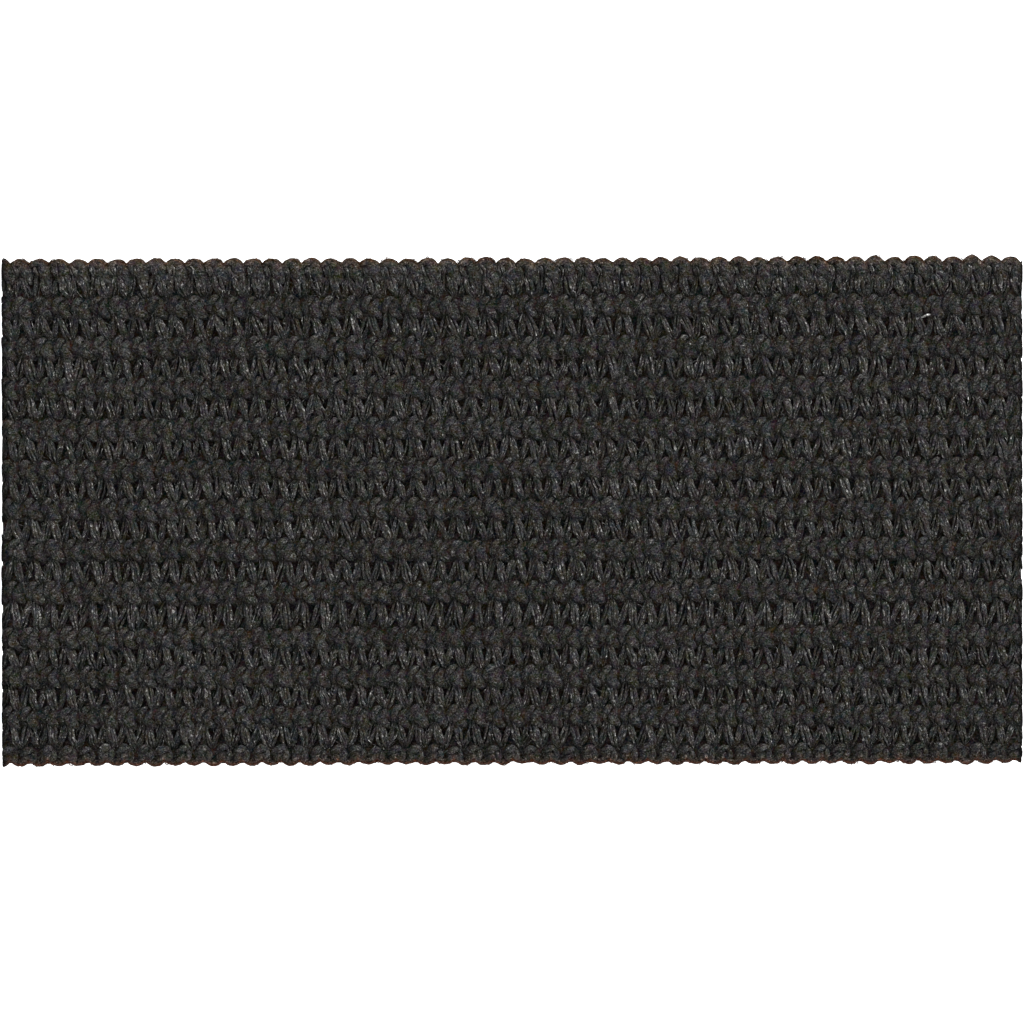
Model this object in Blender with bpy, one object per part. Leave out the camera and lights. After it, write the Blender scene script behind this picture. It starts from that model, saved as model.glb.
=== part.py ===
"""A cut length of knitted elastic tape, 25 mm wide, lying flat with its face up.

The tape is one closed solid. Thirteen ribs run along both of its faces, one for each column of
chain stitches, and both of its long edges are scalloped, one scallop for each row of stitches.
The ribs' undersides are flat lands at z = 0, on which the tape rests.

+X runs along the tape, +Y across it and +Z up. The origin is the middle of the underside.
"""

import math

import bmesh
import bpy

MM = 1e-3

# Driving dimensions.
LENGTH = 50.15 * MM
WIDTH = 25.0 * MM  # from the tips of one edge's scallops to the tips of the other's
THICKNESS = 1.5 * MM
COURSE = 0.955 * MM  # one row of stitches, measured along the tape
DRIFT = 0.0031  # how far the tape climbs towards +Y for each unit of its length

# The space from each rib's centre line to the next one's, from the +Y edge to the -Y edge.
RIB_SPACES = [
    space * MM
    for space in (1.92, 1.97, 1.92, 1.92, 2.02, 1.97, 2.02, 2.11, 2.11, 1.97, 1.97, 1.87)
]

# One rib's section, out from its centre line: a flat crest, a shoulder, then the valley.
CREST_HALF_WIDTH = 0.30 * MM
SHOULDER_HALF_WIDTH = 0.62 * MM
SHOULDER_DROP = 0.10 * MM
VALLEY_DROP = 0.32 * MM

# The scalloped edges. An edge's face is upright, between two heights.
EDGE_TOP = 1.10 * MM
EDGE_BOTTOM = 0.40 * MM
SCALLOP_STEPS = 5  # straight sides that make up one scallop
SCALLOP_ROUNDNESS = 0.6  # under 1, the scallops are full and the notches between them sharp
SECTION_COURSES = 5  # the ribs are straight, so they take one section for this many courses

# Each edge: which side it is on, its scallops' depth, and the share of a course from the
# tape's -X end to its first notch.
EDGES = {
    "upper": {"side": 1, "depth": 0.236 * MM, "first_notch": 0.44},
    "lower": {"side": -1, "depth": 0.177 * MM, "first_notch": 0.24},
}

YARN_COLOUR = (0.028, 0.026, 0.024, 1.0)
YARN_ROUGHNESS = 0.75


def clear_scene():
    for item in list(bpy.data.objects):
        bpy.data.objects.remove(item, do_unlink=True)


def rib_centres():
    """The y of each rib's centre line, from the +Y edge to the -Y edge, evenly about y = 0."""
    centre = sum(RIB_SPACES) / 2
    centres = [centre]
    for space in RIB_SPACES:
        centre -= space
        centres.append(centre)
    return centres


def across_face():
    """(y, drop) of each line that runs along a face, where drop is how far it lies below the
    ribs' crests. The first and last are the outer sides of the two outermost crests."""
    centres = rib_centres()
    lines = []
    for number, centre in enumerate(centres):
        if number > 0:
            lines.append(((centres[number - 1] + centre) / 2, VALLEY_DROP))
            lines.append((centre + SHOULDER_HALF_WIDTH, SHOULDER_DROP))
        lines.append((centre + CREST_HALF_WIDTH, 0.0))
        lines.append((centre - CREST_HALF_WIDTH, 0.0))
        if number < len(centres) - 1:
            lines.append((centre - SHOULDER_HALF_WIDTH, SHOULDER_DROP))
    return lines


def scalloped(x, edge):
    """The y of an edge at x: half the width at a scallop's tip, and less in its notches, by a
    rounded arch for each course."""
    turn = (x + LENGTH / 2) / COURSE - edge["first_notch"]
    arch = abs(math.sin(math.pi * turn)) ** SCALLOP_ROUNDNESS
    return edge["side"] * (WIDTH / 2 - edge["depth"] * (1 - arch))


def places_along():
    """Every x with a point on the edges, and which of them are also sections of the ribs."""
    step = COURSE / SCALLOP_STEPS
    whole_steps = int(LENGTH / step)
    places = [-LENGTH / 2 + number * step for number in range(whole_steps + 1)]
    if LENGTH / 2 - places[-1] < step / 2:
        places.pop()
    places.append(LENGTH / 2)
    stride = SECTION_COURSES * SCALLOP_STEPS
    sections = list(range(0, len(places) - stride // 2, stride)) + [len(places) - 1]
    return places, sections


def line_of_points(bm, places, height, across):
    """One point at each place, where across(x) gives its y before the tape's drift."""
    return [bm.verts.new((x, across(x) + DRIFT * x, height)) for x in places]


def strip(bm, first, second, steps):
    """The faces between two lines with a point at each of the same places. steps are the
    places to use, so that straight lines take long faces."""
    for start, end in zip(steps[:-1], steps[1:]):
        bm.faces.new((first[start], first[end], second[end], second[start]))


def joining_strip(bm, fine, coarse, sections):
    """The flat faces between a line with every point and one with points at sections only."""
    for number, (start, end) in enumerate(zip(sections[:-1], sections[1:])):
        bm.faces.new(fine[start : end + 1] + [coarse[number + 1], coarse[number]])


def face_lines(bm, places, sections, height_of):
    """The lines along one face of the tape. The two outermost have every point."""
    section_places = [places[number] for number in sections]
    profile = across_face()
    lines = []
    for number, (y, drop) in enumerate(profile):
        outermost = number in (0, len(profile) - 1)
        along = places if outermost else section_places
        lines.append(line_of_points(bm, along, height_of(drop), lambda x, y=y: y))
    return lines


def cover_face(bm, lines, sections):
    """Closes one face of the tape, from its first line to its last."""
    joining_strip(bm, lines[0], lines[1], sections)
    for first, second in zip(lines[1:-2], lines[2:-1]):
        strip(bm, first, second, range(len(sections)))
    joining_strip(bm, lines[-1], lines[-2], sections)


def tape_mesh():
    """The whole tape: two ribbed faces, two scalloped edges and two square-cut ends."""
    places, sections = places_along()
    every = range(len(places))
    bm = bmesh.new()
    top = face_lines(bm, places, sections, lambda drop: THICKNESS - drop)
    under = face_lines(bm, places, sections, lambda drop: drop)
    cover_face(bm, top, sections)
    cover_face(bm, under, sections)

    rims = {}
    for name, edge in EDGES.items():
        rims[name] = [
            line_of_points(bm, places, height, lambda x, edge=edge: scalloped(x, edge))
            for height in (EDGE_TOP, EDGE_BOTTOM)
        ]
        outermost = 0 if edge["side"] > 0 else -1
        strip(bm, top[outermost], rims[name][0], every)
        strip(bm, rims[name][0], rims[name][1], every)
        strip(bm, rims[name][1], under[outermost], every)

    round_the_section = top + rims["lower"] + under[::-1] + rims["upper"][::-1]
    for end in (0, -1):
        bm.faces.new([line[end] for line in round_the_section])

    bmesh.ops.recalc_face_normals(bm, faces=bm.faces)
    mesh = bpy.data.meshes.new("elastic_tape")
    bm.to_mesh(mesh)
    bm.free()
    return mesh


def yarn_material():
    material = bpy.data.materials.new("black_yarn")
    material.use_nodes = True
    shader = material.node_tree.nodes["Principled BSDF"]
    shader.inputs["Base Color"].default_value = YARN_COLOUR
    shader.inputs["Roughness"].default_value = YARN_ROUGHNESS
    return material


def main():
    clear_scene()
    mesh = tape_mesh()
    mesh.materials.append(yarn_material())
    tape = bpy.data.objects.new("elastic_tape", mesh)
    bpy.context.scene.collection.objects.link(tape)


main()
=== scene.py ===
"""The looks of a cut length of black knitted elastic tape.

Each column of chain stitches (a wale) is one yarn, and so is each zigzag of weft between two
wales. A yarn's path repeats one stitch's table of points for every row of stitches (a course),
each a little uneven. An ellipse is carried along the path, or several thinner ones side by side
where the yarn's strands show. Short filaments lie on and over the yarns, a plain yarn lies along
each selvedge, and a dark ribbed sheet fills the tape behind them all. Sizes are in millimetres
until the meshes are made, with +X along the tape, +Y across it and +Z up.
"""

import bmesh
import bpy
import numpy as np
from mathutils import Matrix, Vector


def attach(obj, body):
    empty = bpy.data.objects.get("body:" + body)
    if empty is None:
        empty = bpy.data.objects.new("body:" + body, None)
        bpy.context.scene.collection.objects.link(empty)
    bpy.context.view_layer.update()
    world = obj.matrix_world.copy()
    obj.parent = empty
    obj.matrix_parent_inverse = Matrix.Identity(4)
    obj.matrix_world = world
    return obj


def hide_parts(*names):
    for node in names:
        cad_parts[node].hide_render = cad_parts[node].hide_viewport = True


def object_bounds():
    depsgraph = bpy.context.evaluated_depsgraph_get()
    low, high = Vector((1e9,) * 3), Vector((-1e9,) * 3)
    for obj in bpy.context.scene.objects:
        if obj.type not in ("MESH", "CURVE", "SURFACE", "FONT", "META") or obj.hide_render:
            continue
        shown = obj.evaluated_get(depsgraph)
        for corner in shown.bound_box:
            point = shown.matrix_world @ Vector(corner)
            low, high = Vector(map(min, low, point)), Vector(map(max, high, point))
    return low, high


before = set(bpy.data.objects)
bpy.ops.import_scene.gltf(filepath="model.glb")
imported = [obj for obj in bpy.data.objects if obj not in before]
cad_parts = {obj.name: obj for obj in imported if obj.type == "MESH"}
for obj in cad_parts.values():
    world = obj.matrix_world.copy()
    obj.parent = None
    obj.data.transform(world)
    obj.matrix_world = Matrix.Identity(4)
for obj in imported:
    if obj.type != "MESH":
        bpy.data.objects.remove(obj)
CAD_LOW, CAD_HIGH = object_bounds()

MM = 1e-3
LENGTH = (CAD_HIGH.x - CAD_LOW.x) / MM
THICKNESS = (CAD_HIGH.z - CAD_LOW.z) / MM
DRIFT = 0.0031  # how far the tape climbs towards +Y for each unit of its length
COURSE = 0.9537  # one row of stitches, measured along the tape
FAN = 2.2e-4  # how much longer the courses are towards +Y, for each millimetre
BOW = 0.0058  # how far the middle of a course lies ahead of its ends, for each mm left of centre
NODE = "elastic_tape"
SEED = 1403

# From the +Y edge to the -Y edge: the space to the next wale's centre line, and how far the
# first stitch lies from the tape's -X end.
WALES = np.array(
    [
        (1.77, -0.11),
        (2.02, -0.07),
        (1.97, 0.14),
        (1.99, 0.18),
        (2.02, 0.18),
        (1.94, 0.20),
        (2.02, 0.33),
        (2.07, 0.47),
        (2.25, 0.46),
        (1.92, 0.22),
        (1.94, 0.28),
        (1.84, 0.30),
        (0.00, 0.25),
    ]
)
SPACE, FIRST_STITCH = WALES.T
WALE_Y = SPACE[:-1].sum() / 2 - np.concatenate([[0], np.cumsum(SPACE[:-1])])
MEAN_SPACE = SPACE[:-1].mean()
MEAN_LEAN = 0.03  # how far the tables below shift from one wale to the next
SELVEDGE_REACH = 0.63  # how far the tape goes on past its outermost wales' centre lines

# One stitch of each yarn, in hundredths of a millimetre: its place along and across the tape
# from the stitch's own centre, its height, and half the yarn's width and height there. The last
# number is painted light on the yarn there, in hundredths of a power of e: a painted highlight
# where it is above 0, and painted shade where it is below 0.
CHAIN = (
    (-21, -39, 102, 14, 10, 0),
    (-24, -16, 118, 19, 13, 0),
    (-23, 5, 121, 18, 13, 0),
    (-14, 23, 129, 17, 14, 10),
    (-3, 36, 137, 15, 14, 22),
    (7, 40, 118, 10, 11, 12),
    (20, 37, 98, 9, 9, 0),
    (29, 24, 113, 13, 12, 0),
    (25, 7, 125, 18, 14, -6),
    (13, -10, 129, 24, 14, -8),
    (21, -28, 130, 25, 14, -8),
    (38, -43, 126, 20, 13, -6),
    (53, -56, 100, 11, 10, 0),
)
WEFT = (
    (4, -25, 95, 11, 9, 0),
    (12, -53, 117, 16, 12, 6),
    (20, -84, 127, 18, 14, 14),
    (27, -111, 127, 19, 14, 18),
    (34, -138, 121, 18, 13, 14),
    (42, -160, 110, 15, 10, 6),
    (49, -177, 92, 10, 8, 0),
    (56, -160, 104, 14, 9, 6),
    (65, -132, 113, 17, 12, 2),
    (76, -96, 113, 18, 13, -4),
    (85, -59, 111, 16, 11, -4),
    (89, -34, 107, 10, 9, 0),
    (82, -19, 112, 9, 9, 0),
    (76, -7, 104, 8, 9, 0),
    (79, 12, 92, 8, 8, 0),
)
UPPER_CHAIN = (
    (-43, 0, 92, 11, 9, 0),
    (-36, 13, 112, 15, 11, 6),
    (-23, 25, 122, 17, 12, 8),
    (-4, 34, 124, 17, 12, 4),
    (11, 35, 116, 17, 12, -10),
    (21, 23, 118, 26, 14, -12),
    (29, 5, 125, 30, 16, -8),
    (40, -17, 126, 33, 15, -4),
    (54, -39, 124, 25, 14, 0),
    (61, -59, 124, 12, 12, 20),
    (61, -73, 112, 7, 9, 0),
    (63, -44, 80, 8, 8, 0),
)
UPPER_WEFT = (
    (3, -17, 95, 11, 9, 0),
    (13, -34, 112, 14, 12, 0),
    (23, -54, 124, 21, 14, 10),
    (29, -79, 126, 24, 14, 14),
    (35, -103, 121, 23, 13, 12),
    (41, -128, 114, 18, 10, 6),
    (49, -152, 98, 12, 8, 0),
    (56, -165, 90, 10, 8, 0),
    (64, -145, 104, 14, 9, 6),
    (72, -120, 111, 15, 11, 2),
    (77, -96, 114, 15, 12, 0),
    (79, -69, 114, 16, 12, -4),
    (83, -47, 114, 16, 11, -4),
    (88, -26, 122, 13, 11, 10),
    (82, -6, 140, 13, 13, 65),
    (77, 9, 124, 11, 10, 25),
    (73, 20, 96, 7, 8, 0),
)
LOWER_CHAIN = (
    (-28, 2, 108, 13, 11, 0),
    (-14, 13, 122, 17, 13, 0),
    (3, 23, 138, 18, 14, 15),
    (16, 23, 122, 14, 12, 25),
    (26, 11, 112, 12, 11, 10),
    (33, -7, 131, 14, 13, 0),
    (29, -22, 122, 16, 13, 0),
    (13, -17, 118, 22, 12, 0),
    (-7, -16, 118, 23, 12, 0),
    (-21, -23, 104, 14, 11, 0),
    (-20, -39, 86, 12, 10, 0),
    (10, -39, 76, 12, 9, 0),
    (44, -29, 76, 11, 9, 0),
    (61, -12, 88, 11, 9, 0),
)
TABLE_UNITS = 100  # how many of the tables' units are 1 mm, or a whole power of e
HALF_WIDTH, HALF_HEIGHT, SHADE = 3, 4, 5  # what follows x, y and height in a table's columns

# The scalloped outline of each selvedge: its side, how far its scallops' tips lie from the
# middle line, their depth, the share of a course from the tape's -X end to its first notch, and
# a power that leans the scallops to +X where it is over 1.
SELVEDGES = {
    "upper": {
        "side": 1,
        "half_width": 12.5,
        "depth": 0.325,
        "first_notch": 0.48,
        "lean": 1.0,
    },
    "lower": {
        "side": -1,
        "half_width": 12.54,
        "depth": 0.27,
        "first_notch": 0.30,
        "lean": 1.12,
    },
}
SCALLOP_ROUNDNESS = 0.6  # under 1, the scallops are full and the notches between them sharp

# How far each scallop stands out from the even outline, at random, for more scallops than the
# tape has.
UNEVEN_SCALLOP = 0.028
SCALLOP_SEED = 7
SCALLOP_REACH = UNEVEN_SCALLOP * np.random.default_rng(SCALLOP_SEED).normal(size=200)

# The plain yarn along a selvedge: half its width and height, the height of its middle, its
# sides, its rings for each course, and how uneven its surface is.
RIM = {
    "half_width": 0.22,
    "half_height": 0.36,
    "middle": 0.72,
    "sides": 10,
    "rings": 10,
    "uneven": 0.012,
}

# How uneven the knitting is, as standard deviations. From stitch to stitch: the shade, the
# place, the height and the yarn's thickness, which strays by a few of its own at the most. From
# knot to knot: the place. From ring to ring: a strand's shade, and a tube's outline. The shades
# are powers of e.
UNEVEN_SHADE = 0.07
UNEVEN_PLACE = 0.024
UNEVEN_HEIGHT = 0.020
UNEVEN_WIDTH = 0.09
MOST_STRAY = 2
UNEVEN_KNOT = 0.020
UNEVEN_STRAND_SHADE = 0.18
UNEVEN_OUTLINE = 0.06

# The stitches also wander slowly from their places, by this standard deviation, over a bell
# curve of this many stitches. A bell curve is followed for this many of its widths each way.
WANDER = 0.030
WANDER_STITCHES = 5
BELL_REACH = 3

# A yarn is drawn as one tube, or as several strands side by side in the same outline. Each
# kind: strands, sides of a strand, rings for each knot, and how much fuller than its table.
CHAIN_BUILD = (1, 7, 2, 1.08)
WEFT_BUILD = (5, 3, 1, 1.0)
BACK_BUILD = (1, 3, 1, 1.20)
SPARE_COURSES = 1  # the yarns run this far past each end, and are cut back

# How strands share their yarn's outline, as parts of its half width and half height: the place
# of the outermost ones, how far each strays across and upwards, half its own width and height,
# and the arch that they lie on, by its height, how much of its span the yarn takes, and how far
# its foot lies below the yarn's middle.
STRANDS = {
    "outermost": 0.72,
    "stray_across": 0.25,
    "stray_up": 0.33,
    "half_width": 0.49,
    "half_height": 0.55,
    "arch": 0.75,
    "arch_share": 0.8,
    "arch_foot": 0.35,
}

# A tube's pattern starts at random within this many millimetres. What a tile of its map holds is
# kept this share of the tile's size in from its edges.
PATTERN_REACH = 40
TILE_INSET = 0.03

# A filament's points, as shares of its length from its middle.
FILAMENT_POINTS = 5
ALONG_FILAMENT = np.linspace(-0.5, 0.5, FILAMENT_POINTS)
FILAMENT_SIDES = 3

# Crimped filaments on a yarn's upper side: how many for each stitch, their length in rings of
# the yarn, half their thickness, how uneven that is and how it tapers, how far round from the
# yarn's top they start, how far they turn at each point, how far they stand off, how far their
# ends dip in parts of that, the lowest middle that shows, and how many rings and millimetres
# they keep from the yarn's ends.
CHAIN_CRIMPS = {
    "number": 5,
    "rings": (1.2, 3.6),
    "half": 0.026,
    "uneven": 0.25,
    "taper": 1.5,
    "round": 1.1,
    "turn": 0.75,
    "lift": 0.12,
    "dip": 5,
    "lowest": 1.12,
    "ring_margin": 3,
    "end_margin": 0.05,
}

# What all the loose filaments share: how uneven their thickness is and how it tapers, how much
# they kink at each point, how uneven their height is, and how far their ends dip.
LOOSE = {
    "uneven": 0.2,
    "taper": 1.6,
    "kink": 0.25,
    "uneven_high": 0.03,
    "dip": 0.9,
}

# Those that lie on the weft and on the wales: how many for each course, their length, half their
# thickness, how much they turn along their length, the angles at which they lean from straight
# across, how far they stray from those, and the band and the height that they lie in.
OVER_WEFT = LOOSE | {
    "number": 5,
    "length": (0.20, 0.70),
    "half": 0.022,
    "turn": 0.8,
    "leans": (0.25, -0.12),
    "stray": 0.30,
    "band": 0.35,
    "high": 1.32,
}
OVER_CHAIN = LOOSE | {
    "number": 8,
    "length": (0.18, 0.50),
    "half": 0.025,
    "turn": 1.4,
    "leans": (0.8, -0.8),
    "stray": 0.9,
    "band": 0.62,
    "high": 1.39,
}

# How much lighter the filaments are than their yarn, and its standard deviation. On the crimps
# and the loose filaments the lighter colour is a painted glint; the stray fibres are pale of
# their own.
CRIMP_SHADE = (0.42, 0.34)
LOOSE_SHADE = (0.42, 0.34)
FUZZ_SHADE = (0.14, 0.11)
STRAY_SHADE = (2.03, 0.0)

# Two pale fibres caught in the face: the middle's x and y, the length, the lean and half the
# thickness. Then the height of their middles, how far their ends dip, how they taper, and how
# far they bow, for each unit of their length.
STRAYS = ((20.27, 9.50, 0.47, 0.32, 0.068), (8.72, 8.17, 0.10, 0.0, 0.044))
STRAY_HEIGHT = 1.46
STRAY_DIP = 0.3
STRAY_TAPER = 1.2
STRAY_BOW = 0.04

# The cloth behind the yarns: its section's points on each face, and its sections. It overhangs
# the outermost wales' centre lines, where half a rib takes half_turn. Then the height of its
# upper face between the wales, how much higher its ribs are, and a power that makes them narrow.
# The last wale's rib has only a share of that, and from the upper edge to the second wale the
# cloth rises by at least first_rise. Its lower face has a height and a share of the ribs, too.
GROUND = {
    "points": 160,
    "sections": 24,
    "overhang": 0.3,
    "half_turn": 0.5,
    "upper_face": 0.86,
    "rib": 0.40,
    "sharpness": 1.5,
    "last_rib": 0.5,
    "first_rise": 0.18,
    "lower_face": 0.46,
    "lower_rib": 0.55,
}

# Each piece is cut this much shorter than the one before it, so that no two cut faces share a
# plane, and the cloth behind them is shorter than them all.
CUT_STEP = 1e-4
LAST_CUT = 0.008

# How far in from a selvedge's outline its tints reach, the heights between which they set in,
# and how much nearer to its outline the upper scallops' +X shoulders are taken to be, so that
# their brown is deeper there as painted shade.
TINT_REACH = 0.50
TINT_HEIGHTS = (0.68, 0.80)
SHOULDER_PAINTED_SHADE = 0.16

# Each selvedge's side, and what its light band and its brown outline multiply the yarn's colour
# by. They set in between two degrees of nearness to the outline.
SELVEDGE_TINTS = (
    (1, (1.48, 1.28, 1.16, 1), (0.72, 0.42, 0.22, 1)),
    (-1, (1.40, 1.20, 1.10, 1), (1.02, 0.35, 0.13, 1)),
)
LIGHT_BAND = (0.02, 0.50)
BROWN_OUTLINE = (0.48, 0.88)

# Each cut end's side, how far in from it the yarn darkens as painted shade, and what its colour
# is multiplied by.
PAINTED_END_SHADE = ((-1, 0.50), (1, 0.34))
PAINTED_END_SHADE_TINT = (0.12, 0.12, 0.12, 1)

# Each yarn's look, as yarn_material says.
CHAIN_YARN = {
    "middle": 0.0353,
    "streaks": 0.54,
    "specks": 0.50,
    "sparks": 0.9,
    "relief": 0.024,
    "along": 9.0,
    "crimp": 1.2,
}
WEFT_YARN = {
    "middle": 0.0448,
    "streaks": 0.44,
    "specks": 0.34,
    "sparks": 1.72,
    "relief": 0.020,
    "along": 13.0,
    "crimp": 0.8,
}

# The cloth's look behind the yarns: its middle colour, darker than the yarns' as painted shade
# in the gaps, how strong its grain is, and the height of its bump in millimetres.
GROUND_YARN = {
    "middle": 0.0195,
    "specks": 0.8,
    "relief": 0.02,
}

# How fine the patterns are: the streaks and the glints for each millimetre across a strand and
# along it, and the grains and the stray colours for each metre.
STREAKS_ACROSS = 12
GLINTS = (9, 9, 6)
YARN_GRAIN = 12500
GROUND_GRAIN = 9000
STRAY_COLOURS = 2200
GLINT_STEP = (0.5, 1.6)  # glints set in between these many standard deviations of their noise
GRAIN_RELIEF = 0.8  # how much of the grain a yarn's bump takes, for 1 of its filaments
NOISE_GAIN = 8  # what brings a noise's standard deviation to about 1

# The yarns' tint and that of the cloth behind them, how far their red, green and blue stray, and
# how warm both are made.
YARN_TINT = (1.014, 1.001, 0.972)
GROUND_TINT = (1.16, 0.98, 0.90)
YARN_SPREAD = (0.235, 0.082, 0.272)
GROUND_SPREAD = (0.62, 0.18, 0.50)
WARMTH = (0.034, 0.003, -0.042)


def smoothed(values, width):
    """Values along the first axis, each replaced by a sum of its neighbours, weighted by a bell
    curve of this width. The weights' squares add up to 1, so that random values keep their
    standard deviation. The values at both ends, up to BELL_REACH widths in, are lost."""
    reach = np.arange(-BELL_REACH * width, BELL_REACH * width + 1)
    weights = np.exp(-0.5 * (reach / width) ** 2)
    weights /= np.sqrt((weights**2).sum())
    columns = [np.convolve(column, weights, mode="valid") for column in values.T]
    return np.stack(columns, 1)


def stitch_knots(table, wale, rng, lower_shift=0.0, stretch=1.0):
    """The knots of one whole yarn, (stitches, knots in a stitch, columns of the table). The
    stitch's table is moved on by a course for each stitch. stretch scales it across the tape. A
    knot below its wale's centre line is moved along the tape by lower_shift times its share of
    the wales' mean space. Then random numbers make the knots uneven."""
    stitches = int(LENGTH / COURSE) + 2 * SPARE_COURSES + 1
    along = -LENGTH / 2 + FIRST_STITCH[wale] + COURSE * (np.arange(stitches) - SPARE_COURSES)
    one = np.array(table, float) / TABLE_UNITS
    one[:, 1] *= stretch
    one[:, 0] += lower_shift * np.clip(-one[:, 1] / MEAN_SPACE, 0, 1)
    knots = np.repeat(one[None], stitches, 0)
    knots[:, :, 0] += along[:, None]
    knots[:, :, 1] += WALE_Y[wale]

    spare = rng.normal(size=(stitches + 2 * BELL_REACH * WANDER_STITCHES, 2))
    knots[:, :, :2] += WANDER * smoothed(spare, WANDER_STITCHES)[:, None]
    knots[:, :, :2] += UNEVEN_PLACE * rng.normal(size=(stitches, 1, 2))
    knots[:, :, :2] += UNEVEN_KNOT * rng.normal(size=knots[:, :, :2].shape)
    knots[:, :, 2] += UNEVEN_HEIGHT * rng.normal(size=(stitches, 1))
    stray = rng.normal(size=(stitches, 1, 1)).clip(-MOST_STRAY, MOST_STRAY)
    knots[:, :, HALF_WIDTH:SHADE] *= 1 + UNEVEN_WIDTH * stray
    return knots


def along_spline(knots, steps):
    """Points on the smooth curve through the knots, where each stretch is the cubic whose
    slope at a knot is half the step between that knot's neighbours."""
    before, start, end, after = knots[:-3], knots[1:-2], knots[2:-1], knots[3:]
    share = (np.arange(steps) / steps)[None, :, None]
    before, start, end, after = (k[:, None] for k in (before, start, end, after))
    curve = 0.5 * (
        2 * start
        + (end - before) * share
        + (2 * before - 5 * start + 4 * end - after) * share**2
        + (3 * start - before - 3 * end + after) * share**3
    )
    return curve.reshape(-1, knots.shape[-1])


def laid_out(points):
    """Points of an even tape moved to where the real one lies. x grows by FAN times x times y,
    and by BOW times the distance left of centre times a parabola across the tape. y grows by
    DRIFT times x."""
    x, y, z = points[..., 0], points[..., 1], points[..., 2]
    bow = BOW * np.maximum(-x, 0) * np.maximum(1 - (y / WALE_Y[0]) ** 2, 0)
    return np.stack([x + FAN * x * y + bow, y + DRIFT * x, z], -1)


def outline(x, edge):
    """How far from the middle line a selvedge reaches at x. It is half the width, less the
    scallops' depth times 1 less an arch, plus the scallop's own reach times that arch. The arch
    is the sine of half a turn for each course, to the power SCALLOP_ROUNDNESS."""
    turn = (x + LENGTH / 2) / COURSE - edge["first_notch"]
    scallop = np.floor(turn).astype(int)
    half_turn = np.pi * (turn - scallop) ** edge["lean"]
    arch = np.abs(np.sin(half_turn)) ** SCALLOP_ROUNDNESS
    reach = SCALLOP_REACH[scallop % len(SCALLOP_REACH)]
    return edge["half_width"] - edge["depth"] * (1 - arch) + reach * arch


def kept_inside(points, wale):
    """The outermost wales' points, each moved in to the outline where it lies past it, and the
    other wales' points as they are."""
    edge = {0: SELVEDGES["upper"], len(WALE_Y) - 1: SELVEDGES["lower"]}.get(wale)
    if edge:
        limit = outline(points[..., 0], edge)
        points[..., 1] = edge["side"] * np.minimum(edge["side"] * points[..., 1], limit)
    return points


def near_outline(points):
    """How near each point is to a selvedge's outline: from 0 at TINT_REACH inside it to 1 at the
    upper one, and from 0 to -1 at the lower one. Below TINT_HEIGHTS it is 0."""
    near = 0
    for edge in SELVEDGES.values():
        inside = outline(points[..., 0], edge) - edge["side"] * points[..., 1]
        near = near + edge["side"] * (1 - inside / TINT_REACH).clip(0, 1)
    low, high = TINT_HEIGHTS
    return near * ((points[..., 2] - low) / (high - low)).clip(0, 1)


def right_shoulder(x):
    """Which part of an upper scallop x is in: a sine of one turn for each course, from -1 on the
    scallop's -X shoulder to 1 on its +X shoulder."""
    turn = (x + LENGTH / 2) / COURSE - SELVEDGES["upper"]["first_notch"]
    return np.sin(2 * np.pi * (turn - 0.5))


def frame_along(centre):
    """For lines of points (lines, points, 3): the step length at each point, the level
    direction square to the line, and the direction square to both."""
    heading = np.gradient(centre, axis=1)
    length = np.linalg.norm(heading, axis=2, keepdims=True)
    heading = heading / length
    level = np.stack([-heading[..., 1], heading[..., 0], np.zeros(heading.shape[:2])], -1)
    level /= np.linalg.norm(level, axis=2, keepdims=True)
    return length, level, np.cross(heading, level)


def strands_of(path, strands, fuller, rng):
    """The paths of a yarn's strands, (strands, rings, columns of the table), its thickness and
    shades made fuller. They lie side by side across the yarn's width, on an arch that is the
    root of 1 less the square of their place, and each strays from its place as it goes."""
    path = path.copy()
    path[:, HALF_WIDTH:] *= fuller
    if strands == 1:
        return path[None]
    level, upward = frame_along(path[None, :, :3])[1:]
    place = np.linspace(-STRANDS["outermost"], STRANDS["outermost"], strands)[:, None]
    spare = rng.normal(size=(2 * strands, len(path) + 2 * BELL_REACH)).T
    drift = smoothed(spare, 1).T
    across = (place + STRANDS["stray_across"] * drift[:strands]).clip(-1, 1)
    above = STRANDS["arch"] * np.sqrt(1 - (STRANDS["arch_share"] * across) ** 2)
    above = above - STRANDS["arch_foot"] + STRANDS["stray_up"] * drift[strands:]
    paths = np.repeat(path[None], strands, 0)
    width, height = path[None, :, HALF_WIDTH, None], path[None, :, HALF_HEIGHT, None]
    paths[..., :3] += across[..., None] * width * level + above[..., None] * height * upward
    paths[..., HALF_WIDTH] *= STRANDS["half_width"]
    paths[..., HALF_HEIGHT] *= STRANDS["half_height"]
    return paths


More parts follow.
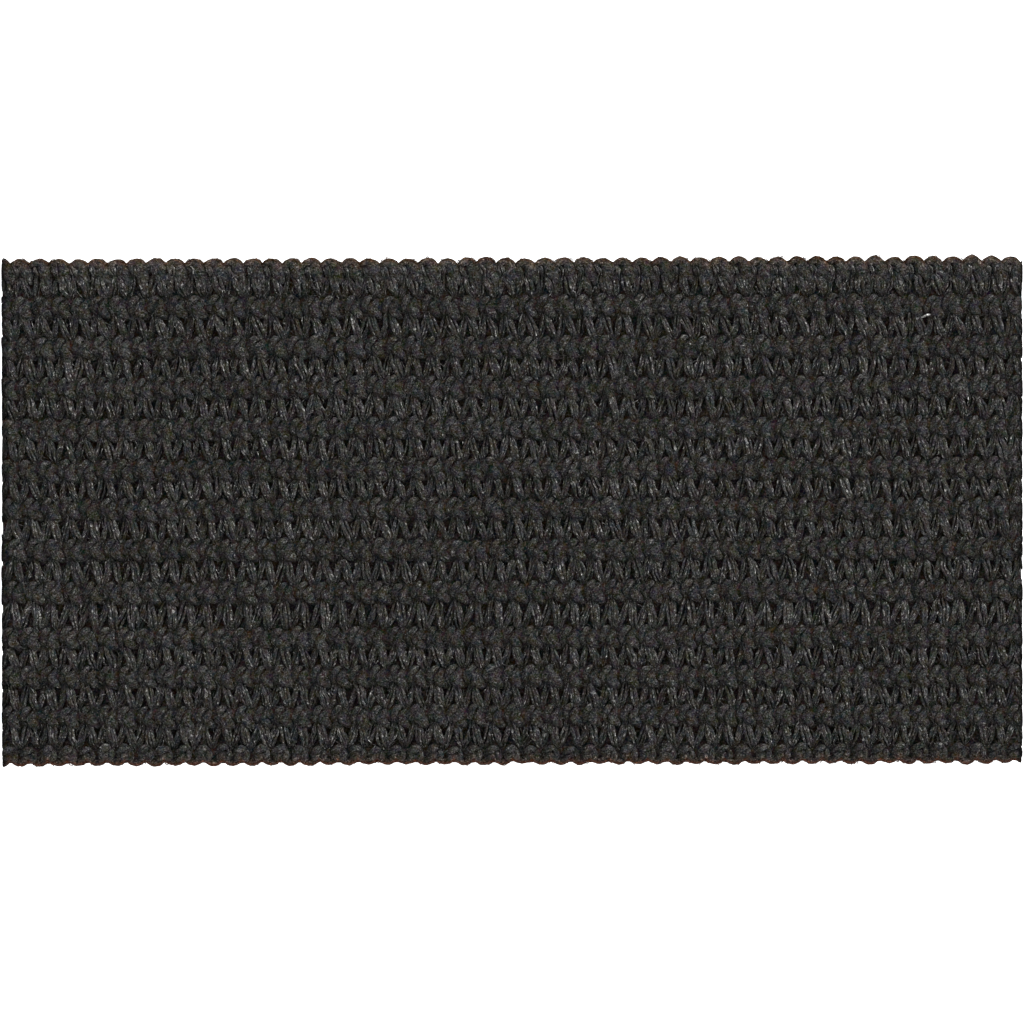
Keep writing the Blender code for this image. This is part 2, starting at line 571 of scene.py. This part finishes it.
def tubes(paths, sides, rng):
    """Tubes carried along paths of (x, y, height, half width, half height). A ring's point is
    its centre, plus the cosine of its turn times the half width along the level direction, plus
    its sine times the half height along the upward one, both a little uneven. Returns the rings'
    points, and for each its place within its tube: across, up and along, from a random start."""
    centre = paths[..., :3]
    length, level, upward = frame_along(centre)
    turn = np.linspace(0, 2 * np.pi, sides, endpoint=False) + np.pi / 2
    cos, sin = np.cos(turn)[:, None], np.sin(turn)[:, None]
    uneven = 1 + UNEVEN_OUTLINE * rng.normal(size=paths.shape[:2] + (sides, 1))
    width, height = paths[..., HALF_WIDTH, None, None], paths[..., HALF_HEIGHT, None, None]
    rings = centre[:, :, None] + uneven * (
        width * cos * level[:, :, None] + height * sin * upward[:, :, None]
    )
    way = np.cumsum(length, axis=1)[:, :, None]
    mean_width = paths[..., HALF_WIDTH].mean()
    strand = np.concatenate(np.broadcast_arrays(cos * mean_width, sin * mean_width, way), -1)
    return rings, strand + PATTERN_REACH * rng.random((len(paths), 1, 1, 3))


def quad_places(tube_count, rings, sides):
    """The tube, the ring and the side of each quad, for tubes one after another."""
    counts = np.arange(tube_count), np.arange(rings - 1), np.arange(sides)
    return np.meshgrid(*counts, indexing="ij")


def tube_faces(tube_count, rings, sides):
    """The quads between neighbouring rings, round each ring, for tubes one after another."""
    tube, ring, side = quad_places(tube_count, rings, sides)
    following = (side + 1) % sides
    quad = (ring, side), (ring, following), (ring + 1, following), (ring + 1, side)
    return np.stack([(tube * rings + r) * sides + s for r, s in quad], -1).reshape(-1, 4)


def tiled_map(tube_count, rings, sides, rings_each):
    """A map for the tubes' quads, where each stitch of each tube has a square tile of its own,
    with the stitch's rings along it and the tube's sides up it."""
    tube, ring, side = quad_places(tube_count, rings, sides)
    stitch, within = ring // rings_each, ring % rings_each
    tile = tube * (stitch.max() + 1) + stitch
    tiles = int(np.ceil(np.sqrt(tile.max() + 1)))
    corners = []
    for forward, round_it in ((0, 0), (0, 1), (1, 1), (1, 0)):
        u = TILE_INSET + (1 - 2 * TILE_INSET) * (within + forward) / rings_each
        v = TILE_INSET + (1 - 2 * TILE_INSET) * (side + round_it) / sides
        corners.append(np.stack([(tile % tiles + u) / tiles, (tile // tiles + v) / tiles], -1))
    return np.stack(corners, 3).reshape(-1, 2)


def mesh_of(name, points, faces, strand, shade, tiles=None):
    """A mesh from arrays, in millimetres on an even tape. It keeps what the yarns' materials
    read: strand, a point's place within its yarn; shade, a power of e; and outline, how near it
    is to a selvedge's outline. On the upper scallops that grows by its own square times the
    shoulder constant times the sine of right_shoulder, for a deeper brown on their +X shoulders
    as painted shade. tiles is the map that the bake is laid on."""
    mesh = bpy.data.meshes.new(name)
    mesh.from_pydata((laid_out(points).reshape(-1, 3) * MM).tolist(), [], list(faces))
    kept = mesh.attributes.new("strand", "FLOAT_VECTOR", "POINT")
    kept.data.foreach_set("vector", strand.astype(np.float32).ravel())
    near = near_outline(points)
    # A deeper brown on the upper scallops' +X shoulders, as painted shade.
    near += SHOULDER_PAINTED_SHADE * np.maximum(near, 0) ** 2 * right_shoulder(points[..., 0])
    for kind, values in (("shade", shade), ("outline", near)):
        kept = mesh.attributes.new(kind, "FLOAT", "POINT")
        kept.data.foreach_set("value", values.astype(np.float32).ravel())
    if tiles is not None:
        layer = mesh.uv_layers.new(name="OFBake")
        layer.uv.foreach_set("vector", tiles.astype(np.float32).ravel())
    mesh.shade_smooth()
    return mesh


def cut_square(mesh):
    """Cuts the mesh off at both ends of the tape and closes each cut with flat faces. The cut
    lies in from the tape's end by CUT_STEP for each mesh made so far."""
    reach = LENGTH / 2 - CUT_STEP * len(bpy.data.meshes)
    bm = bmesh.new()
    bm.from_mesh(mesh)
    for side in (-1, 1):
        cut = bmesh.ops.bisect_plane(
            bm,
            geom=bm.verts[:] + bm.edges[:] + bm.faces[:],
            plane_co=(side * reach * MM, 0, 0),
            plane_no=(side, 0, 0),
            clear_outer=True,
        )
        edges = [item for item in cut["geom_cut"] if isinstance(item, bmesh.types.BMEdge)]
        for face in bmesh.ops.holes_fill(bm, edges=edges, sides=0)["faces"]:
            face.smooth = False
    bm.to_mesh(mesh)
    bm.free()


def add_piece(name, mesh, material):
    """The mesh as a piece of the tape, at the origin."""
    piece = bpy.data.objects.new(name, mesh)
    piece.data.materials.append(material)
    bpy.context.scene.collection.objects.link(piece)
    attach(piece, "root")
    return piece


def rim(name, edge, rng, material):
    """The yarn along a selvedge, behind its stitches: an ellipse carried straight along the
    tape, whose outer side follows the scallops' outline."""
    sides = RIM["sides"]
    end = LENGTH / 2 + COURSE
    along = np.linspace(-end, end, int(2 * end / COURSE * RIM["rings"]))[:, None]
    turn = np.linspace(0, 2 * np.pi, sides, endpoint=False)[None]
    reach = outline(along, edge) + RIM["uneven"] * rng.normal(size=(len(along), sides))
    y = edge["side"] * (reach - RIM["half_width"] + RIM["half_width"] * np.cos(turn))
    z = RIM["middle"] + RIM["half_height"] * np.sin(turn)
    rings = np.stack(np.broadcast_arrays(along, y, z), -1)
    faces = tube_faces(1, len(along), sides)[:, :: edge["side"]].tolist()
    strand = rings[..., [1, 2, 0]]
    mesh = mesh_of(name, rings, faces, strand, np.zeros(rings.shape[:2]))
    cut_square(mesh)
    return add_piece(name, mesh, material)


def knitted(name, table, wale, rng, material, build, back=False, crimps=None, **shape):
    """One whole yarn of the tape: tubes along the smooth curve through its stitches' knots. The
    back's yarns are the face's turned over, and nowhere below the floor. Returns the piece, and
    the paths of the crimped filaments on it, if it has any."""
    strands, sides, steps, fuller = build
    knots = stitch_knots(table, wale, rng, **shape)
    stitches, each = knots.shape[:2]
    path = along_spline(knots.reshape(-1, knots.shape[-1]), steps)
    paths = strands_of(path, strands, fuller, rng)
    rings, strand = tubes(paths, sides, rng)
    rings = kept_inside(rings, wale)
    faces = tube_faces(strands, len(path), sides)
    tiles = tiled_map(strands, len(path), sides, each * steps)
    # The tables' last column is painted highlight and shade; the random parts added to it are the
    # stitches' and strands' own uneven tone.
    shade = UNEVEN_SHADE * np.repeat(rng.normal(size=stitches + 1), each * steps)[: len(path)]
    shade = paths[..., SHADE, None] + shade[None, :, None] + np.zeros((1, 1, sides))
    if strands > 1:
        shade += UNEVEN_STRAND_SHADE * rng.normal(size=(strands, len(path), 1))
    if back:
        rings[..., 2] = np.maximum(THICKNESS - rings[..., 2], 0)
        faces = faces[:, ::-1]
        tiles = tiles.reshape(-1, 4, 2)[:, ::-1].reshape(-1, 2)
    mesh = mesh_of(name, rings, faces.tolist(), strand, shade, tiles)
    cut_square(mesh)
    piece = add_piece(name, mesh, material)
    if crimps is None:
        return piece, None
    return piece, kept_inside(crimped_paths(paths[0], crimps, stitches, rng), wale)


def filament_halves(kind, number, rng):
    """Half the thickness of each filament at its points: the kind's half, times e to a random
    power, times 1 less taper times the square of the point's place along the filament."""
    half = kind["half"] * np.exp(kind["uneven"] * rng.normal(size=(number, 1)))
    return half * (1 - kind["taper"] * ALONG_FILAMENT**2)


def crimped_paths(path, kind, stitches, rng):
    """Short lines of points on a yarn's upper side. Each has its middle at a random ring, and
    goes on along the yarn while it turns round it at random. It stands off the yarn's ellipse by
    a random part of lift, less lift times dip times the square of its place along the filament,
    so that its ends go into the yarn. Those that don't show from above are left out."""
    number = kind["number"] * stitches
    margin = kind["ring_margin"]
    rings = rng.uniform(*kind["rings"], size=(number, 1))
    middle = rng.uniform(margin, len(path) - 1 - margin, size=(number, 1))
    at = (middle + rings * ALONG_FILAMENT).clip(0, len(path) - 1)
    turn = 0.5 * np.pi + rng.uniform(-kind["round"], kind["round"], size=(number, 1))
    turn = turn + np.cumsum(kind["turn"] * rng.normal(size=at.shape), axis=1)
    level, upward = (direction[0] for direction in frame_along(path[None, :, :3])[1:])
    ring_numbers = np.arange(len(path))

    def sample(values):
        """What the rings hold, at the filaments' points: a straight mix of a point's two rings."""
        return np.stack([np.interp(at, ring_numbers, column) for column in values.T], -1)

    here = sample(path)
    off = 1 + kind["lift"] * (rng.random((number, 1)) - kind["dip"] * ALONG_FILAMENT**2)
    round_it = here[..., HALF_WIDTH, None] * np.cos(turn)[..., None] * sample(level)
    round_it += here[..., HALF_HEIGHT, None] * np.sin(turn)[..., None] * sample(upward)
    centre = here[..., :3] + off[..., None] * round_it
    half = filament_halves(kind, number, rng)[..., None]
    inside = (np.abs(centre[..., 0]) < LENGTH / 2 - kind["end_margin"]).all(1)
    seen = inside & (centre[:, FILAMENT_POINTS // 2, 2] > kind["lowest"])
    return np.concatenate([centre, half, half], -1)[seen]


def loose_paths(kind, middle_y, rng):
    """Short curved lines of points, each from a random place in a band along the tape. Each
    leans from straight across, turns evenly along its length and kinks at random. Its ends lie
    lower by dip times the square of their place along it."""
    number = int(kind["number"] * LENGTH / COURSE)
    length = rng.uniform(*kind["length"], size=(number, 1))
    reach = LENGTH / 2 - kind["length"][1]
    start_x = rng.uniform(-reach, reach, size=(number, 1))
    start_y = middle_y + kind["band"] * rng.uniform(-1, 1, size=(number, 1))
    lean = rng.choice(kind["leans"], (number, 1)) + kind["stray"] * rng.normal(size=(number, 1))
    way = np.pi / 2 + lean + kind["turn"] * rng.normal(size=(number, 1)) * ALONG_FILAMENT
    way = way + kind["kink"] * rng.normal(size=(number, FILAMENT_POINTS))
    step = length / (FILAMENT_POINTS - 1)
    along = np.cumsum(np.cos(way) * step, axis=1)
    across = np.cumsum(np.sin(way) * step, axis=1)
    x = start_x + along - along.mean(1, keepdims=True)
    y = start_y + across - across.mean(1, keepdims=True)
    high = kind["high"] * (1 + kind["uneven_high"] * rng.normal(size=(number, 1)))
    z = high - kind["dip"] * ALONG_FILAMENT**2
    half = filament_halves(kind, number, rng)
    return np.stack([x, y, z, half, half], -1)


def stray_paths(strays):
    """The points of single fibres that lie across the stitches: a straight line turned by its
    lean, with a bow to one side, ends that dip and a taper, each by a parabola."""
    x, y, length, lean, half = np.array(strays).T[:, :, None]
    along = length * ALONG_FILAMENT
    bow = STRAY_BOW * length * (1 - 4 * ALONG_FILAMENT**2)
    line_x = x + along * np.cos(lean) - bow * np.sin(lean)
    line_y = y + along * np.sin(lean) + bow * np.cos(lean)
    z = STRAY_HEIGHT - STRAY_DIP * ALONG_FILAMENT**2
    width = half * (1 - STRAY_TAPER * ALONG_FILAMENT**2)
    return np.stack(np.broadcast_arrays(line_x, line_y, z, width, width), -1)


def filaments(name, paths, lighter, rng, material):
    """Short tubes with closed ends, one for each path, lighter than their yarn by a mean and a
    standard deviation."""
    sides = FILAMENT_SIDES
    rings, strand = tubes(paths, sides, rng)
    points = paths.shape[1]
    faces = tube_faces(len(paths), points, sides).tolist()
    first = np.arange(len(paths))[:, None] * points * sides
    last = first + (points - 1) * sides
    faces += (first + [2, 1, 0]).tolist() + (last + [0, 1, 2]).tolist()
    mean, spread = lighter
    shade = mean + spread * rng.normal(size=(len(paths), 1, 1)) + np.zeros((1, points, sides))
    mesh = mesh_of(name, rings, faces, strand, shade)
    return add_piece(name, mesh, material)


def ground_sheet(material):
    """The dark cloth behind the yarns: one closed ribbed section carried along the tape. turns
    counts the wales' centre lines across it. A rib is half of 1 plus the cosine of a whole turn
    for each wale, to the power sharpness. The section is moved across by DRIFT times x alone, so
    that its two ends stay square."""
    overhang, half_turn = GROUND["overhang"], GROUND["half_turn"]
    across = np.linspace(WALE_Y[0] + overhang, WALE_Y[-1] - overhang, GROUND["points"])
    known_y = np.concatenate([[WALE_Y[0] + half_turn], WALE_Y, [WALE_Y[-1] - half_turn]])
    known_turns = np.concatenate([[-0.5], np.arange(len(WALE_Y)), [len(WALE_Y) - 0.5]])
    turns = np.interp(-across, -known_y, known_turns)
    rib = GROUND["rib"] * (0.5 + 0.5 * np.cos(2 * np.pi * turns)) ** GROUND["sharpness"]
    rib *= np.where(turns > len(WALE_Y) - 1.5, GROUND["last_rib"], 1)
    rib = np.where(turns < 1, np.maximum(rib, GROUND["first_rise"]), rib)
    upper = np.stack([across, GROUND["upper_face"] + rib], 1)
    lower = np.stack([across, GROUND["lower_face"] - GROUND["lower_rib"] * rib], 1)
    y, z = np.concatenate([upper, lower[::-1]]).T
    end = LENGTH / 2 - LAST_CUT
    x = np.linspace(-end, end, GROUND["sections"])[:, None]
    rings = np.stack(np.broadcast_arrays(x, y + DRIFT * x, z), -1)
    sides = len(y)
    faces = tube_faces(1, len(x), sides).tolist()
    faces.append(list(range(sides))[::-1])
    faces.append([(len(x) - 1) * sides + side for side in range(sides)])
    mesh = bpy.data.meshes.new("ground")
    mesh.from_pydata((rings.reshape(-1, 3) * MM).tolist(), [], faces)
    bm = bmesh.new()
    bm.from_mesh(mesh)
    bmesh.ops.recalc_face_normals(bm, faces=bm.faces)
    bm.to_mesh(mesh)
    bm.free()
    return add_piece("ground", mesh, material)


class Wire:
    """One output of a material's nodes. Arithmetic on it adds Math nodes."""

    def __init__(self, net, socket):
        self.net = net
        self.socket = socket

    def __add__(self, other):
        return self.net.maths("ADD", self, other)

    __radd__ = __add__

    def __sub__(self, other):
        return self.net.maths("SUBTRACT", self, other)

    def __rsub__(self, other):
        return self.net.maths("SUBTRACT", other, self)

    def __mul__(self, other):
        return self.net.maths("MULTIPLY", self, other)

    __rmul__ = __mul__

    def between(self, low, high):
        """0 below low, 1 above high and a smooth step from one to the other."""
        node = self.net.node(
            "ShaderNodeMapRange",
            {"interpolation_type": "SMOOTHSTEP"},
            {"Value": self, "From Min": low, "From Max": high},
        )
        return Wire(self.net, node.outputs["Result"])


class Net:
    """A new material's nodes."""

    def __init__(self, name):
        self.material = bpy.data.materials.new(name)
        self.material.use_nodes = True
        self.tree = self.material.node_tree
        self.shader = self.tree.nodes["Principled BSDF"]

    def node(self, kind, settings=(), sockets=()):
        """Any node: its settings are made first, then its sockets' values and links."""
        made = self.tree.nodes.new(kind)
        for name, value in dict(settings).items():
            setattr(made, name, value)
        self.feed(made, sockets)
        return made

    def feed(self, node, sockets):
        """Gives a node's sockets their values, or the wires that lead to them."""
        for name, value in dict(sockets).items():
            if isinstance(value, Wire):
                self.tree.links.new(value.socket, node.inputs[name])
            else:
                node.inputs[name].default_value = value

    def maths(self, operation, *values):
        """An operation on numbers."""
        node = self.node("ShaderNodeMath", {"operation": operation}, dict(enumerate(values)))
        return Wire(self, node.outputs[0])

    def colour_maths(self, operation, *values):
        """An operation on colours or vectors, part by part."""
        sockets = dict(enumerate(values))
        node = self.node("ShaderNodeVectorMath", {"operation": operation}, sockets)
        return Wire(self, node.outputs[0])

    def times(self, share, colour, by):
        """A colour multiplied by another, by share."""
        settings = {"data_type": "RGBA", "blend_type": "MULTIPLY"}
        node = self.node("ShaderNodeMix", settings, {0: share, 6: colour, 7: by})
        return Wire(self, node.outputs[2])

    def attribute(self, name, output="Vector"):
        """What each point of the mesh keeps under this name."""
        node = self.node("ShaderNodeAttribute", {"attribute_name": name})
        return Wire(self, node.outputs[output])

    def place(self):
        """The place on the object, in metres."""
        return Wire(self, self.node("ShaderNodeTexCoord").outputs["Object"])

    def noise_node(self, vector, detail, rough, distortion=0.0):
        """Noise with one wave for each unit of the vector."""
        sockets = {
            "Vector": vector,
            "Scale": 1.0,
            "Detail": detail,
            "Roughness": rough,
            "Distortion": distortion,
        }
        return self.node("ShaderNodeTexNoise", (), sockets)

    def noise(self, vector, detail, rough=0.5, distortion=0.0):
        """Noise about 0, with a standard deviation of about 1."""
        node = self.noise_node(vector, detail, rough, distortion)
        return (Wire(self, node.outputs["Fac"]) - 0.5) * NOISE_GAIN

    def bump(self, height, distance):
        """The way that the surface faces where it is raised by height times distance."""
        sockets = {"Height": height, "Distance": distance, "Strength": 1.0}
        return Wire(self, self.node("ShaderNodeBump", (), sockets).outputs["Normal"])


def edge_tints_and_painted_shade(net, colour):
    """A colour multiplied by a light tint along both selvedges and by brown at their very
    outlines, each by a smooth step of the nearness to the outline, and by a dark one at both cut
    ends, by a smooth step of x. The dark tint at the ends is painted shade, and so is the deeper
    brown on the upper scallops' +X shoulders. The cut faces themselves stay plain."""
    x = Wire(net, net.node("ShaderNodeSeparateXYZ", (), {0: net.place()}).outputs[0])
    nearness = net.attribute("outline", "Fac")
    for side, light, brown in SELVEDGE_TINTS:
        near = side * nearness
        colour = net.times(near.between(*LIGHT_BAND), colour, light)
        colour = net.times(near.between(*BROWN_OUTLINE), colour, brown)
    for end, reach in PAINTED_END_SHADE:
        outwards = end * x
        share = outwards.between((LENGTH / 2 - reach) * MM, LENGTH / 2 * MM)
        share = share * net.maths("LESS_THAN", outwards, (LENGTH / 2 - LAST_CUT) * MM)
        colour = net.times(share, colour, PAINTED_END_SHADE_TINT)
    return colour


def tinted(net, power, middle, tint, spread):
    """A colour: the tint times middle times e to the power. WARMTH times middle is added to it,
    and so is a coarse noise in red, green and blue apart, whose standard deviation is about
    spread times middle. No part of it is under 0."""
    level = net.maths("EXPONENT", power) * middle
    plain = net.node("ShaderNodeVectorMath", {"operation": "SCALE"}, {0: tint, "Scale": level})
    place = net.colour_maths("MULTIPLY", net.place(), (STRAY_COLOURS,) * 3)
    stray = net.noise_node(place, detail=3.0, rough=0.85)
    amount = [NOISE_GAIN * part * middle for part in spread]
    offset = [warm * middle - part / 2 for warm, part in zip(WARMTH, amount)]
    added = net.colour_maths("MULTIPLY_ADD", Wire(net, stray.outputs["Color"]), amount, offset)
    whole = net.colour_maths("ADD", Wire(net, plain.outputs[0]), added)
    return net.colour_maths("MAXIMUM", whole, (0.0, 0.0, 0.0))


def yarn_material(name, middle, streaks, specks, sparks, relief, along, crimp):
    """Bulked black yarn. Its filaments are streaks along it, crossed by a finer grain. Its
    colour is middle times e to the power of streaks times the filaments, plus specks times the
    grain, plus sparks times the short bright glints, which are painted highlights, plus the mesh's
    shade, which holds painted highlight and shade. relief is the bump's height in millimetres,
    along how fine the streaks are lengthwise, and crimp how much they curl."""
    net = Net(name)
    strand = net.attribute("strand")
    shade = net.attribute("shade", "Fac")
    streaked = net.colour_maths("MULTIPLY", strand, (STREAKS_ACROSS, STREAKS_ACROSS, along))
    filament = net.noise(streaked, detail=1.5, rough=0.6, distortion=crimp)
    grain = net.noise(net.colour_maths("MULTIPLY", net.place(), (YARN_GRAIN,) * 3), detail=1.0)
    glints = net.noise(net.colour_maths("MULTIPLY", strand, GLINTS), 1.0, distortion=crimp)
    glints = glints.between(*GLINT_STEP)
    power = streaks * filament + specks * grain + sparks * glints + shade
    colour = tinted(net, power, middle, YARN_TINT, YARN_SPREAD)
    net.feed(
        net.shader,
        {
            "Base Color": edge_tints_and_painted_shade(net, colour),
            "Roughness": 0.62,
            "Specular IOR Level": 0.05,
            "Normal": net.bump(filament + GRAIN_RELIEF * grain, relief * MM),
        },
    )
    return net.material


def ground_material(middle, specks, relief):
    """The yarn at the bottom of the gaps, darker and warmer than the yarns above as painted
    shade. Its colour is middle times e to the power of specks times a grain. relief is the bump's
    height in millimetres."""
    net = Net("ground_yarn")
    grain = net.noise(net.colour_maths("MULTIPLY", net.place(), (GROUND_GRAIN,) * 3), detail=2.0)
    net.feed(
        net.shader,
        {
            "Base Color": tinted(net, specks * grain, middle, GROUND_TINT, GROUND_SPREAD),
            "Roughness": 0.9,
            "Specular IOR Level": 0.1,
            "Normal": net.bump(grain, relief * MM),
        },
    )
    return net.material


def knitted_side(side, rng, chain, weft):
    """Every yarn of the face or of the back: the wales, then the wefts between them. Returns
    the pieces, and the paths of the crimped filaments on each of the face's wales."""
    back = side == "back"
    last = len(WALE_Y) - 1
    pieces, crimps = [], []
    for wale in range(last + 1):
        table = {0: UPPER_CHAIN, last: LOWER_CHAIN}.get(wale, CHAIN)
        name = f"{side}_chain_{wale + 1:02d}"
        build = BACK_BUILD if back else CHAIN_BUILD
        kind = None if back else CHAIN_CRIMPS
        piece, on_it = knitted(name, table, wale, rng, chain, build, back, kind)
        pieces.append(piece)
        crimps.append(on_it)
    for wale in range(last):
        table = UPPER_WEFT if wale == 0 else WEFT
        name = f"{side}_weft_{wale + 1:02d}"
        build = BACK_BUILD if back else WEFT_BUILD
        lean = FIRST_STITCH[wale + 1] - FIRST_STITCH[wale] - MEAN_LEAN
        shape = {"lower_shift": lean, "stretch": SPACE[wale] / MEAN_SPACE}
        pieces.append(knitted(name, table, wale, rng, weft, build, back, **shape)[0])
    return pieces, crimps


def knit_tape():
    """Every piece of the tape: the yarns of both sides, the filaments over the face, the yarns
    along the selvedges, and the sheet behind them all."""
    rng = np.random.default_rng(SEED)
    chain = yarn_material("chain_yarn", **CHAIN_YARN)
    weft = yarn_material("weft_yarn", **WEFT_YARN)
    pieces, crimps = knitted_side("face", rng, chain, weft)
    pieces += knitted_side("back", rng, chain, weft)[0]

    between = (WALE_Y[:-1] + WALE_Y[1:]) / 2
    loose = [loose_paths(OVER_WEFT, y, rng) for y in between]
    fuzz = [kept_inside(loose_paths(OVER_CHAIN, y, rng), n) for n, y in enumerate(WALE_Y)]
    pieces.append(filaments("crimps", np.concatenate(crimps), CRIMP_SHADE, rng, chain))
    pieces.append(filaments("loose_filaments", np.concatenate(loose), LOOSE_SHADE, rng, weft))
    pieces.append(filaments("fuzz", np.concatenate(fuzz), FUZZ_SHADE, rng, chain))
    pieces.append(filaments("stray_fibres", stray_paths(STRAYS), STRAY_SHADE, rng, weft))
    for name, edge in SELVEDGES.items():
        pieces.append(rim(f"{name}_rim", edge, rng, chain))
    ground = ground_sheet(ground_material(**GROUND_YARN))
    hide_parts(NODE)
    width = WALE_Y[0] - WALE_Y[-1] + 2 * SELVEDGE_REACH
    width * MM


def plain_floor():
    """A white square, in metres, just under the tape, which glows to the white of paper."""
    half, drop = 3.0, 2e-5
    white = Net("white_floor")
    white.feed(
        white.shader,
        {
            "Base Color": (0.9, 0.9, 0.9, 1),
            "Roughness": 0.9,
            "Emission Color": (1, 1, 1, 1),
            "Emission Strength": 1.0,
        },
    )
    corners = [(x * half, y * half, -drop) for x, y in ((-1, -1), (1, -1), (1, 1), (-1, 1))]
    mesh = bpy.data.meshes.new("floor")
    mesh.from_pydata(corners, [], [(0, 1, 2, 3)])
    floor = bpy.data.objects.new("floor", mesh)
    floor.data.materials.append(white.material)
    bpy.context.scene.collection.objects.link(floor)


def lamp(name, place, size, power):
    """A square lamp that shines at the origin, in metres and watts."""
    light = bpy.data.lights.new(name, "AREA")
    light.size = size
    light.energy = power
    item = bpy.data.objects.new(name, light)
    item.location = place
    item.rotation_euler = Vector(place).to_track_quat("Z", "Y").to_euler()
    bpy.context.scene.collection.objects.link(item)


def studio():
    """A soft white surround and one broad lamp from the picture's upper right."""
    world = bpy.data.worlds.new("surround")
    world.use_nodes = True
    background = world.node_tree.nodes["Background"]
    background.inputs["Color"].default_value = (1, 1, 1, 1)
    background.inputs["Strength"].default_value = 0.98
    bpy.context.scene.world = world
    lamp("key", place=(0.38, 0.38, 0.31), size=0.26, power=3.1)
    bpy.context.scene.view_settings.view_transform = "Standard"


def straight_down():
    """The picture's camera: square above the tape, far enough off that it hardly spreads. It
    frames frame_width at the height of the tape's face."""
    frame_width = 50.38 * MM
    picture_centre_y = -0.06 * MM
    face_height = 1.0 * MM
    data = bpy.data.cameras.new("camera")
    data.lens = 135
    data.sensor_width = 36
    data.clip_start = 0.01
    data.clip_end = 20
    distance = frame_width * data.lens / data.sensor_width
    item = bpy.data.objects.new("camera", data)
    item.location = (0, picture_centre_y, distance + face_height)
    bpy.context.scene.collection.objects.link(item)
    bpy.context.scene.camera = item


plain_floor()
knit_tape()
studio()
straight_down()
